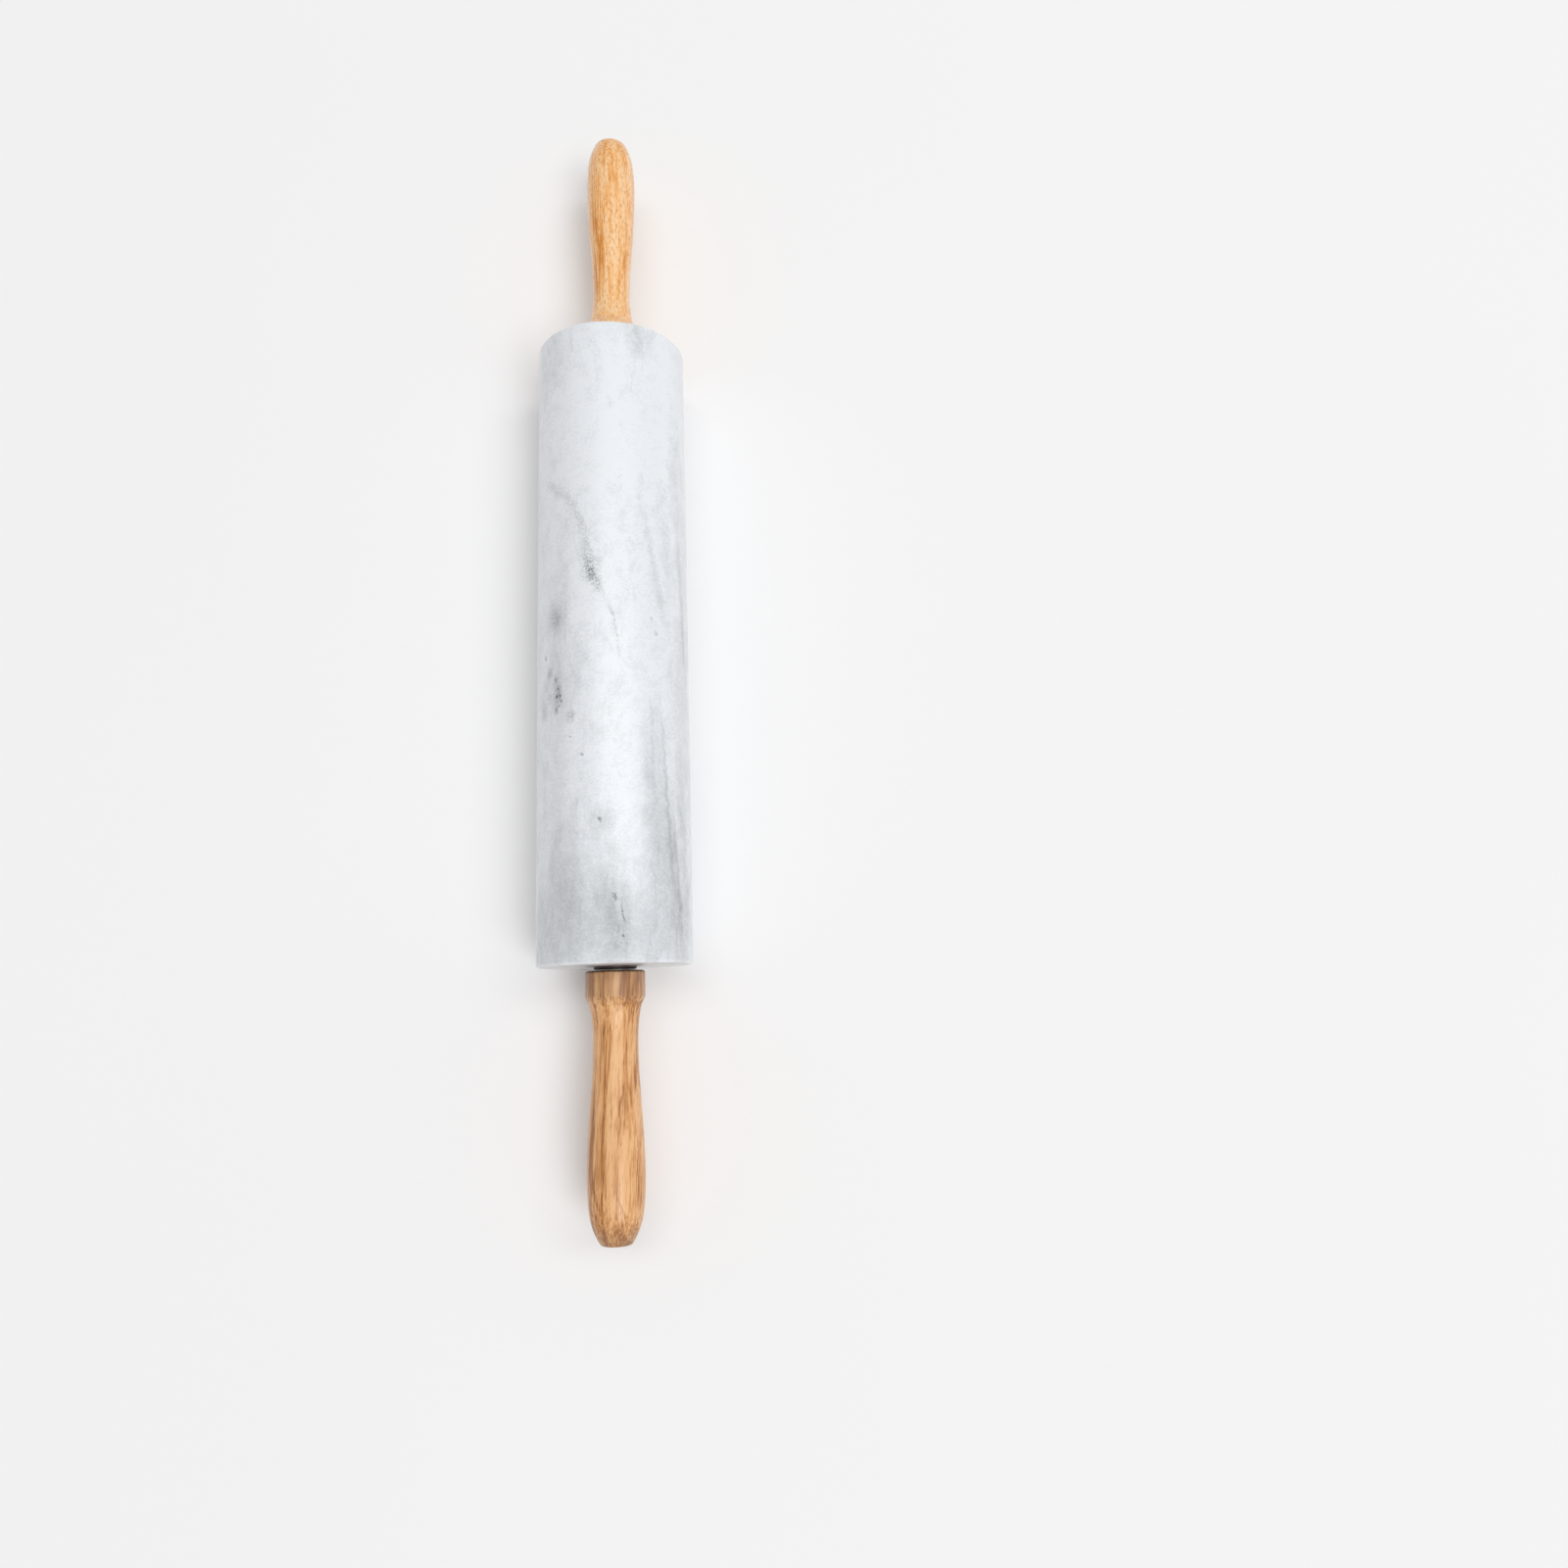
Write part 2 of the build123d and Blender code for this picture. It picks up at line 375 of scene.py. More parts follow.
class FarHandleSettings(PropertyGroup):
    """Sizes and colours of the honey-coloured handle."""

    facets: IntProperty(
        name="Facets", description="Flat faces in one turn of the handle",
        default=128, min=24, max=360,
    )
    row_length: FloatProperty(
        name="Row length",
        description="Distance between rows of faces along the handle",
        default=0.0004, min=0.0002, max=0.005, unit="LENGTH",
    )
    unevenness: FloatProperty(
        name="Unevenness",
        description="How far sanding by hand leaves the handle from a true turning",
        default=0.00005, min=0.0, max=0.0005, unit="LENGTH",
    )
    light_colour: FloatVectorProperty(
        name="Early wood", description="Colour of the pale part of each year's ring",
        subtype="COLOR", default=(0.98, 0.645, 0.345), min=0.0, max=1.0,
    )
    middle_colour: FloatVectorProperty(
        name="Wood", description="Colour that most of the wood has",
        subtype="COLOR", default=(0.93, 0.465, 0.150), min=0.0, max=1.0,
    )
    dark_colour: FloatVectorProperty(
        name="Late wood", description="Colour of the dark line that ends each year's ring",
        subtype="COLOR", default=(0.64, 0.225, 0.020), min=0.0, max=1.0,
    )
    handled_colour: FloatVectorProperty(
        name="Handled wood",
        description="Duller colour that use leaves at both ends of the handle",
        subtype="COLOR", default=(0.62, 0.45, 0.30), min=0.0, max=1.0,
    )


class FittingSettings(PropertyGroup):
    """Colours of the bushings, washers, inserts and rod."""

    nylon_colour: FloatVectorProperty(
        name="Nylon", description="Colour of the two bushings",
        subtype="COLOR", default=(0.066, 0.035, 0.031), min=0.0, max=1.0,
    )
    steel_colour: FloatVectorProperty(
        name="Steel", description="Colour of the rod and the washers",
        subtype="COLOR", default=(0.56, 0.555, 0.55), min=0.0, max=1.0,
    )
    brass_colour: FloatVectorProperty(
        name="Brass", description="Colour of the two inserts",
        subtype="COLOR", default=(0.72, 0.53, 0.24), min=0.0, max=1.0,
    )


class StageSettings(PropertyGroup):
    """The studio's floor, lamps and camera."""

    floor_colour: FloatVectorProperty(
        name="Floor", description="Colour of the floor",
        subtype="COLOR", default=(0.925, 0.925, 0.927), min=0.0, max=1.0,
    )
    floor_width: FloatProperty(
        name="Floor width", description="Length of each side of the floor",
        default=12.0, unit="LENGTH",
    )
    room_light: FloatProperty(
        name="Room light", description="Strength of the even light from all around",
        default=0.415, min=0.0,
    )
    room_colour: FloatVectorProperty(
        name="Room colour", description="Colour of the even light from all around",
        subtype="COLOR", default=(1.0, 0.975, 0.965), min=0.0, max=1.0,
    )
    room_seen: FloatProperty(
        name="Room seen", description="Strength of the pale room that the camera sees",
        default=0.93, min=0.0, max=1.0,
    )
    key_place: FloatVectorProperty(
        name="Key lamp", description="Place of the soft lamp up on the right",
        subtype="TRANSLATION", unit="LENGTH", default=(3.40, -3.50, 8.60),
    )
    key_size: FloatVectorProperty(
        name="Key size", description="Width and length of the soft lamp",
        subtype="XYZ_LENGTH", unit="LENGTH", size=2, default=(4.20, 5.00),
    )
    lamp_colour: FloatVectorProperty(
        name="Lamp colour", description="Colour of both lamps",
        subtype="COLOR", default=(0.978, 0.992, 1.0), min=0.0, max=1.0,
    )
    key_level: FloatProperty(
        name="Key level", description="Share of the light on the floor that the soft lamp gives",
        subtype="FACTOR", default=0.345, min=0.0, max=1.0,
    )
    top_place: FloatVectorProperty(
        name="Top lamp", description="Place of the long lamp overhead",
        subtype="TRANSLATION", unit="LENGTH", default=(2.00, 1.75, 7.40),
    )
    top_size: FloatVectorProperty(
        name="Top size", description="Width and length of the long lamp",
        subtype="XYZ_LENGTH", unit="LENGTH", size=2, default=(9.00, 1.90),
    )
    top_level: FloatProperty(
        name="Top level", description="Share of the light on the floor that the long lamp gives",
        subtype="FACTOR", default=0.365, min=0.0, max=1.0,
    )
    camera_place: FloatVectorProperty(
        name="Camera", description="Place of the camera",
        subtype="TRANSLATION", unit="LENGTH", default=(0.06433, -0.14399, 0.46398),
    )
    camera_tilt: FloatProperty(
        name="Tilt", description="Angle of the camera's view away from straight down",
        subtype="ANGLE", unit="ROTATION", default=0.18377,
    )
    camera_turn: FloatProperty(
        name="Turn", description="Angle of the camera about the upright",
        subtype="ANGLE", unit="ROTATION", default=-0.03153,
    )
    camera_lens: FloatProperty(
        name="Lens", description="Focal length on a sensor 36 mm wide",
        default=27.42, unit="CAMERA",
    )


def add_node(tree, kind, inputs=None, **options):
    """Add a shader node, set its options, and fill or wire its inputs by name or number."""
    node = tree.nodes.new(kind)
    for option, value in options.items():
        setattr(node, option, value)
    for socket, value in (inputs or {}).items():
        if isinstance(value, bpy.types.NodeSocket):
            tree.links.new(value, node.inputs[socket])
        else:
            node.inputs[socket].default_value = value
    return node


def new_material(name):
    """A material with a bare Principled shader, its node tree and that shader."""
    material = bpy.data.materials.new(name)
    material.use_nodes = True
    tree = material.node_tree
    return material, tree, tree.nodes["Principled BSDF"]


def calculate(tree, operation, first, second=0.0, clamp=False):
    """One step of arithmetic on two numbers."""
    node = add_node(
        tree, "ShaderNodeMath", {0: first, 1: second}, operation=operation, use_clamp=clamp
    )
    return node.outputs[0]


def summed(tree, first, *others):
    """The sum of several numbers."""
    for other in others:
        first = calculate(tree, "ADD", first, other)
    return first


def combine(tree, operation, first, second):
    """One step of arithmetic on two vectors."""
    node = add_node(tree, "ShaderNodeVectorMath", {0: first, 1: second}, operation=operation)
    return node.outputs[0]


def scaled(tree, vector, factor):
    """A vector made longer or shorter by one factor."""
    node = add_node(
        tree, "ShaderNodeVectorMath", {0: vector, "Scale": factor}, operation="SCALE"
    )
    return node.outputs[0]


def length_of(tree, vector):
    """The length of a vector."""
    node = add_node(tree, "ShaderNodeVectorMath", {0: vector}, operation="LENGTH")
    return node.outputs["Value"]


def drawn_out(tree, place, share):
    """A place squeezed along the spin axis to this share, which draws out the patterns on it."""
    return combine(tree, "MULTIPLY", place, (1.0, share, 1.0))


def axis_distance(tree, place):
    """How far a place lies from the line along Y through the origin."""
    return length_of(tree, combine(tree, "MULTIPLY", place, (1.0, 0.0, 1.0)))


def axial_part(tree, place):
    """How far along the spin axis a place lies."""
    return add_node(tree, "ShaderNodeSeparateXYZ", {0: place}).outputs["Y"]


def spread(tree, value, low, high, to_low=0.0, to_high=1.0):
    """A number eased from one range into another, and held at the new range's ends."""
    node = add_node(
        tree, "ShaderNodeMapRange",
        {"Value": value, "From Min": low, "From Max": high, "To Min": to_low, "To Max": to_high},
        interpolation_type="SMOOTHSTEP",
    )
    return node.outputs[0]


def cloudy(tree, vector, scale, detail=3.0, rough=0.5):
    """Soft random noise between 0 and 1, with a scale per millimetre."""
    node = add_node(
        tree, "ShaderNodeTexNoise",
        {"Vector": vector, "Scale": scale, "Detail": detail, "Roughness": rough},
    )
    return node.outputs[0]


def drift(tree, place, scale, reach):
    """A soft random push that differs from place to place, by up to half the reach each way."""
    pushes = add_node(tree, "ShaderNodeTexNoise", {"Vector": place, "Scale": scale, "Detail": 2.0})
    centred = combine(tree, "SUBTRACT", pushes.outputs["Color"], (0.5, 0.5, 0.5))
    return scaled(tree, centred, reach)


def blend(tree, factor, first, second):
    """Two colours mixed by a factor."""
    node = add_node(tree, "ShaderNodeMix", {0: factor, 6: first, 7: second}, data_type="RGBA")
    return node.outputs[2]


def opaque(colour):
    """A property's colour as a socket wants it."""
    return (*colour, 1.0)


def darkened(colour, share):
    """A colour with this share of its strength, as a socket wants it."""
    return opaque([share * part for part in colour])


def millimetres(tree):
    """A point's place in the pin's own frame, in millimetres."""
    place = add_node(tree, "ShaderNodeTexCoord").outputs["Object"]
    return scaled(tree, place, MM_PER_METRE)


def bumped(tree, height, distance, strength):
    """A surface normal raised by a height from 0 to 1, which stands for a distance in metres."""
    inputs = {"Height": height, "Distance": distance, "Strength": strength}
    return add_node(tree, "ShaderNodeBump", inputs).outputs["Normal"]


def mark_group():
    """Node group that shades one soft oval mark on an unrolled surface."""
    tree = bpy.data.node_groups.new("soft_mark", "ShaderNodeTree")
    for name, kind in (
        ("Place", "NodeSocketVector"),
        ("Middle", "NodeSocketVector"),
        ("Half sizes", "NodeSocketVector"),
        ("Lean", "NodeSocketFloat"),
        ("Depth", "NodeSocketFloat"),
    ):
        tree.interface.new_socket(name, in_out="INPUT", socket_type=kind)
    tree.interface.new_socket("Shade", in_out="OUTPUT", socket_type="NodeSocketFloat")
    given = tree.nodes.new("NodeGroupInput")
    away = combine(tree, "SUBTRACT", given.outputs["Place"], given.outputs["Middle"])
    upright = add_node(
        tree, "ShaderNodeVectorRotate",
        {"Vector": away, "Angle": given.outputs["Lean"]},
        rotation_type="Z_AXIS",
    ).outputs[0]
    reach = length_of(tree, combine(tree, "DIVIDE", upright, given.outputs["Half sizes"]))
    fading = spread(tree, reach, 0.0, MARK_EDGE, 1.0, 0.0)
    shade = calculate(tree, "MULTIPLY", fading, given.outputs["Depth"])
    add_node(tree, "NodeGroupOutput", {"Shade": shade})
    return tree


def unrolled(tree, place, along, radius):
    """A place on the surface unrolled about the spin axis: millimetres around and along."""
    axes = add_node(tree, "ShaderNodeSeparateXYZ", {0: place})
    angle = calculate(tree, "ARCTAN2", axes.outputs["X"], axes.outputs["Z"])
    around = calculate(tree, "MULTIPLY", angle, radius)
    return add_node(tree, "ShaderNodeCombineXYZ", {"X": around, "Y": along}).outputs[0]


def shifted(tree, flat, source, drifts):
    """An unrolled place pushed about by soft noises, so that its marks lose their even outlines."""
    for scale, reach in drifts:
        flat = combine(tree, "ADD", flat, drift(tree, source, scale, reach))
    return combine(tree, "MULTIPLY", flat, (1.0, 1.0, 0.0))


def placed_marks(tree, flat, group, marks):
    """The shade of a table of marks together."""
    shades = []
    for around, along, half_width, half_length, lean, depth in marks:
        mark = add_node(
            tree, "ShaderNodeGroup",
            {
                "Place": flat,
                "Middle": (around, along, 0.0),
                "Half sizes": (half_width, half_length, 1.0),
                "Lean": -math.radians(lean),
                "Depth": depth,
            },
            node_tree=group,
        )
        shades.append(mark.outputs["Shade"])
    return summed(tree, *shades)


def marble_material(settings, radius, half_length):
    """Honed marble: pale bluish ground, soft grey streaks along the barrel, grains, fine sparkle.

    The radius and half length are the barrel's, in millimetres. Its eased rims are painted paler, a
    painted highlight, and its end faces darker, painted shade. The placed clouds also paint shade
    across the near end.
    """
    material, tree, shader = new_material("honed_marble")
    place = millimetres(tree)
    bedding = add_node(
        tree, "ShaderNodeMapping",
        {
            "Vector": combine(tree, "ADD", place, drift(tree, place, *BEDDING_FOLDS)),
            "Rotation": BEDDING_LEAN,
            "Scale": (1.0, BEDDING_STRETCH, 1.0),
        },
    ).outputs[0]
    clouds = spread(tree, cloudy(tree, bedding, scale=0.055, detail=4.0, rough=0.6), 0.40, 0.72)
    streaks = spread(tree, cloudy(tree, bedding, scale=0.19, detail=4.0, rough=0.55), 0.50, 0.78)
    thread = calculate(tree, "SUBTRACT", cloudy(tree, bedding, scale=0.07), 0.5)
    thread = calculate(tree, "ABSOLUTE", thread)
    threads = calculate(tree, "MULTIPLY", spread(tree, thread, 0.0, 0.035, 1.0, 0.0), clouds)
    mottle = cloudy(tree, place, scale=0.16, detail=5.0, rough=0.62)
    grains = cloudy(tree, place, scale=1.5, detail=2.0, rough=0.6)
    crystals = add_node(tree, "ShaderNodeTexVoronoi", {"Vector": place, "Scale": 1.3})
    crystal = add_node(tree, "ShaderNodeSeparateColor", {0: crystals.outputs["Color"]}).outputs[0]

    along = axial_part(tree, place)
    flat = shifted(tree, unrolled(tree, place, along, radius), place, STONE_DRIFTS)
    group = mark_group()
    shades = placed_marks(tree, flat, group, STONE_CLOUDS_AND_SHADE)
    marks = placed_marks(tree, flat, group, STONE_MARKS)
    stippled = calculate(tree, "MULTIPLY", marks, spread(tree, grains, 0.32, 0.68, 0.35, 1.65))
    from_middle = calculate(tree, "ABSOLUTE", along)
    rim = [half_length - short for short in RIM_HIGHLIGHT_BAND]
    end_shade = [half_length - short for short in END_SHADE_BAND]
    grey = summed(
        tree,
        calculate(tree, "MULTIPLY", clouds, STONE_LAYERS["clouds"]),
        calculate(tree, "MULTIPLY", streaks, STONE_LAYERS["streaks"]),
        calculate(tree, "MULTIPLY", threads, STONE_LAYERS["threads"]),
        spread(tree, mottle, 0.30, 0.72, *STONE_LAYERS["mottle"]),
        spread(tree, grains, 0.28, 0.72, *STONE_LAYERS["grains"]),
        spread(tree, crystal, 0.2, 1.0, *STONE_LAYERS["crystals"]),
        # The placed clouds hold stone clouds and a broad painted shade across the near end
        calculate(tree, "MULTIPLY", shades, STONE_LAYERS["placed_clouds_and_shade"]),
        # Painted highlight along the eased rims, and painted shade on the end faces
        spread(tree, from_middle, *rim, 0.0, STONE_LAYERS["painted_rim_highlight"]),
        spread(tree, from_middle, *end_shade, 0.0, STONE_LAYERS["painted_end_shade"]),
    )
    marked = calculate(tree, "MULTIPLY", stippled, STONE_LAYERS["placed_marks"])
    depth = calculate(tree, "ADD", grey, marked, clamp=True)

    colour = blend(tree, depth, opaque(settings.stone_colour), opaque(settings.vein_colour))
    tree.links.new(colour, shader.inputs["Base Color"])
    rough = settings.roughness
    uneven = spread(tree, mottle, 0.25, 0.75, rough - 0.04, rough + 0.05)
    tree.links.new(uneven, shader.inputs["Roughness"])
    tree.links.new(bumped(tree, grains, distance=0.00002, strength=0.35), shader.inputs["Normal"])
    shader.inputs["Specular IOR Level"].default_value = 0.5
    shader.inputs["Coat Weight"].default_value = 0.5
    shader.inputs["Coat Roughness"].default_value = 0.30
    shader.inputs["Subsurface Weight"].default_value = 0.12
    shader.inputs["Subsurface Radius"].default_value = (1.0, 0.95, 0.90)
    shader.inputs["Subsurface Scale"].default_value = 0.0025
    return material


def wood_material(name, settings, wood, face, tip):
    """Turned wood under a satin finish: rings about a pith beside the handle, fibres, open pores.

    The collar's face and the tip are in millimetres from the middle of the pin. The wood is darker
    towards both: at the tip as painted shade, where the tip turns away from the light. It is duller
    there from handling, and burnt black on the collar's edge.
    """
    material, tree, shader = new_material(name)
    place = millimetres(tree)
    leaned = add_node(
        tree, "ShaderNodeMapping", {"Vector": place, "Rotation": wood["grain_lean"]}
    ).outputs[0]
    along = drawn_out(tree, leaned, GRAIN_STRETCH)
    streak_place = drawn_out(tree, leaned, STREAK_STRETCH)
    fibre_place = drawn_out(tree, leaned, FIBRE_STRETCH)
    pore_place = drawn_out(tree, leaned, wood["pore_stretch"])

    wander = calculate(tree, "SUBTRACT", cloudy(tree, along, scale=0.11), 0.5)
    pith_x, pith_z = wood["pith"]
    distance = axis_distance(tree, combine(tree, "SUBTRACT", leaned, (pith_x, 0.0, pith_z)))
    distance = summed(tree, distance, calculate(tree, "MULTIPLY", wander, wood["wander"]))
    year = calculate(tree, "FRACT", calculate(tree, "DIVIDE", distance, wood["ring_width"]))
    late = calculate(
        tree, "MULTIPLY", spread(tree, year, 0.25, 0.90), spread(tree, year, 0.91, 1.0, 1.0, 0.0)
    )
    fibres = cloudy(tree, fibre_place, scale=2.5, rough=0.62)
    streaks = cloudy(tree, streak_place, scale=1.15, detail=4.0, rough=0.66)
    blotches = cloudy(tree, along, scale=wood["blotch_scale"], detail=4.0, rough=0.62)
    mottle = cloudy(tree, leaned, scale=0.10, detail=2.0)

    from_middle = calculate(tree, "ABSOLUTE", axial_part(tree, place))
    from_face = calculate(tree, "SUBTRACT", from_middle, face)
    from_tip = calculate(tree, "SUBTRACT", tip, from_middle)
    flat = shifted(tree, unrolled(tree, place, from_face, GRAIN_RADIUS), along, GRAIN_DRIFTS)
    bands = placed_marks(tree, flat, mark_group(), wood["marks"])
    tone = summed(
        tree,
        calculate(tree, "MULTIPLY", late, wood["ring_depth"]),
        spread(tree, fibres, 0.30, 0.70, -0.29, 0.32),
        spread(tree, streaks, 0.30, 0.70, -wood["streaks"], wood["streaks"]),
        spread(tree, blotches, 0.32, 0.68, -wood["blotches"], wood["blotches"]),
        spread(tree, mottle, 0.30, 0.70, -0.06, 0.08),
        wood["depth"],
        spread(tree, from_face, *COLLAR_FADE, wood["collar"], 0.0),
        # The marks hold grain, and on the handles' sides painted shade and painted highlight
        calculate(tree, "MULTIPLY", bands, spread(tree, fibres, 0.32, 0.68, 0.45, 1.55)),
        # Painted shade: the wood darkens towards the tip, which turns away from the light
        spread(tree, from_tip, *PAINTED_TIP_SHADE, wood["tip"], 0.0),
    )
    ramp = add_node(tree, "ShaderNodeValToRGB", {0: tone})
    palest, darkest = ramp.color_ramp.elements
    palest.color = opaque(settings.light_colour)
    darkest.color = opaque(settings.dark_colour)
    ramp.color_ramp.elements.new(MIDDLE_TONE).color = opaque(settings.middle_colour)

    open_pores = spread(
        tree, cloudy(tree, pore_place, scale=wood["pore_scale"], detail=1.0),
        wood["pore_level"], wood["pore_level"] + 0.06,
    )
    open_pores = calculate(tree, "MULTIPLY", open_pores, wood["pore_depth"])
    colour = blend(tree, open_pores, ramp.outputs[0], opaque(settings.dark_colour))
    dulled = calculate(
        tree, "MAXIMUM",
        spread(tree, from_face, *COLLAR_FADE, wood["dull"], 0.0),
        spread(tree, from_tip, *DULL_TIP_FADE, wood["dull"], 0.0),
    )
    colour = blend(tree, dulled, colour, opaque(settings.handled_colour))
    ragged = summed(tree, from_face, spread(tree, fibres, 0.3, 0.7, -0.25, 0.25))
    burnt = spread(tree, ragged, *BURNT_BAND, 0.88, 0.0)
    colour = blend(tree, burnt, colour, darkened(settings.dark_colour, BURNT_SHARE))
    tree.links.new(colour, shader.inputs["Base Color"])
    tree.links.new(spread(tree, blotches, 0.25, 0.75, 0.42, 0.54), shader.inputs["Roughness"])
    tree.links.new(bumped(tree, fibres, distance=0.00002, strength=0.3), shader.inputs["Normal"])
    shader.inputs["Specular IOR Level"].default_value = 0.3
    shader.inputs["Coat Weight"].default_value = wood["coat"]
    shader.inputs["Coat Roughness"].default_value = 0.24
    return material


def nylon_material(settings):
    """Dark moulded nylon with a faint grain."""
    material, tree, shader = new_material("dark_nylon")
    grain = cloudy(tree, millimetres(tree), scale=2.5, rough=0.6)
    shader.inputs["Base Color"].default_value = opaque(settings.nylon_colour)
    tree.links.new(spread(tree, grain, 0.3, 0.7, 0.34, 0.50), shader.inputs["Roughness"])
    tree.links.new(bumped(tree, grain, distance=0.00003, strength=0.5), shader.inputs["Normal"])
    return material


def metal_material(name, colour, line_scale, low_rough, high_rough):
    """Bare metal with the fine lines that a lathe or a press leaves about the spin axis."""
    material, tree, shader = new_material(name)
    place = millimetres(tree)
    lines = add_node(
        tree, "ShaderNodeCombineXYZ",
        {"X": axis_distance(tree, place), "Y": axial_part(tree, place)},
    ).outputs[0]
    scratches = cloudy(tree, lines, scale=line_scale, rough=0.7)
    stains = spread(tree, cloudy(tree, place, scale=0.35), 0.3, 0.7)
    stained = blend(tree, stains, opaque(colour), darkened(colour, STAINED_SHARE))
    tree.links.new(stained, shader.inputs["Base Color"])
    rough = spread(tree, scratches, 0.25, 0.75, low_rough, high_rough)
    tree.links.new(rough, shader.inputs["Roughness"])
    tree.links.new(bumped(tree, scratches, distance=0.00002, strength=0.5), shader.inputs["Normal"])
    shader.inputs["Metallic"].default_value = 1.0
    return material


def surface_rows(node, side=1):
    """A turned node's points as (distance along the axis towards a side, radius), in order."""
    points = np.array([vertex.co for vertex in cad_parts[node].data.vertices])
    return np.column_stack([side * points[:, 1], np.hypot(points[:, 0], points[:, 2])])


def outer_outline(rows):
    """The largest radius at each distance, without the rows that repeat their neighbour."""
    largest = {}
    for distance, radius in np.round(rows, 7):
        place = round(distance, 6)
        largest[place] = max(radius, largest.get(place, 0.0))
    kept = []
    for row in sorted(largest.items()):
        if not kept or math.dist(row, kept[-1]) > SAME_ROW:
            kept.append(row)
    return np.array(kept)


def inner_outline(rows):
    """The distinct rows of a bore, from its mouth inwards, and each step from outside to inside."""
    distinct = {(round(distance, 5), round(radius, 5)) for distance, radius in rows}
    return np.array(sorted(distinct, key=lambda row: (row[0], -row[1])))


def smooth_slopes(travelled, values):
    """Slopes for a smooth curve through values that never overshoots them."""
    steps = np.diff(travelled)
    rises = np.diff(values) / steps
    slopes = np.concatenate([rises[:1], np.zeros(len(values) - 2), rises[-1:]])
    for i in range(1, len(values) - 1):
        before, after = rises[i - 1], rises[i]
        if before * after > 0:
            near, far = 2 * steps[i] + steps[i - 1], steps[i] + 2 * steps[i - 1]
            slopes[i] = (near + far) / (near / before + far / after)
    return slopes


def finer(outline, row_length):
    """An outline with smooth rows put in between its own."""
    travelled = np.concatenate([[0.0], np.cumsum(np.hypot(*np.diff(outline, axis=0).T))])
    slopes = [smooth_slopes(travelled, outline[:, i]) for i in range(2)]
    rows = []
    for i in range(len(outline) - 1):
        step = travelled[i + 1] - travelled[i]
        count = max(2, math.ceil(step / row_length))
        for share in np.arange(count) / count:
            rise = share * share * (3 - 2 * share)
            leave = share * (1 - share) ** 2 * step
            arrive = share * share * (share - 1) * step
            rows.append([
                (1 - rise) * outline[i, j] + rise * outline[i + 1, j]
                + leave * slopes[j][i] + arrive * slopes[j][i + 1]
                for j in range(2)
            ])
    return np.array(rows + [outline[-1]])


def turned_mesh(name, outline, facets, reach, waves_along, closed):
    """A mesh turned about the spin axis from an outline, closed into a ring or ended on the axis.

    Soft noise takes it off true by the reach, with this many waves in a metre along the axis.
    """
    widest = max(radius for place, radius in outline)
    points, rows = [], []
    for place, radius in outline:
        first = len(points)
        if radius < ON_AXIS:
            points.append((0.0, place, 0.0))
        else:
            for i in range(facets):
                angle = 2 * math.pi * i / facets
                across, up = math.sin(angle), math.cos(angle)
                spot = Vector((WAVES_ROUND * across, place * waves_along, WAVES_ROUND * up))
                full = radius + reach * radius / widest * noise.noise(spot)
                points.append((full * across, place, full * up))
        rows.append(range(first, len(points)))
    faces = []
    following = rows[1:] + rows[:1] if closed else rows[1:]
    for row, other in zip(rows, following):
        for i in range(facets):
            j = (i + 1) % facets
            corners = [
                row[i % len(row)], row[j % len(row)], other[j % len(other)], other[i % len(other)]
            ]
            faces.append(list(dict.fromkeys(corners)))
    mesh = bpy.data.meshes.new(name)
    mesh.from_pydata(points, [], faces)
    shaped = bmesh.new()
    shaped.from_mesh(mesh)
    bmesh.ops.recalc_face_normals(shaped, faces=shaped.faces)
    shaped.to_mesh(mesh)
    shaped.free()
    mesh.shade_smooth()
    mesh.set_sharp_from_angle(angle=math.radians(SHARP_BEND))
    return mesh


def show_piece(name, mesh, material, node, body):
    """Put a finished mesh in the scene in a node's stead, where it rides on the node's body."""
    mesh.materials.append(material)
    piece = bpy.data.objects.new(name, mesh)
    bpy.context.scene.collection.objects.link(piece)
    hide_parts(node)
    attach(piece, body)


def dress(node, material):
    """Give a node that stays in the scene its material."""
    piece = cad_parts[node]
    if not piece.material_slots:
        piece.data.materials.append(material)
    for place in piece.material_slots:
        place.material = material


def handle_mesh(name, node, side, settings, waves_along):
    """A handle's finished wood: its outline from the tip to the collar, and the bore within."""
    rows = surface_rows(node, side)
    collar_face = rows[:, 0].min()
    collar_radius = rows[rows[:, 0] < collar_face + COLLAR_LENGTH][:, 1].max()
    in_bore = (rows[:, 1] < BORE_SHARE * collar_radius) & (rows[:, 0] < collar_face + BLIND_BORE)
    bore = inner_outline(rows[in_bore])
    outside = finer(outer_outline(rows[~in_bore]), settings.row_length)
    outline = np.vstack([bore[::-1], outside, [outside[-1, 0], 0.0]])
    outline[:, 0] *= side
    return turned_mesh(
        name, outline, settings.facets, settings.unevenness, waves_along, closed=False
    )


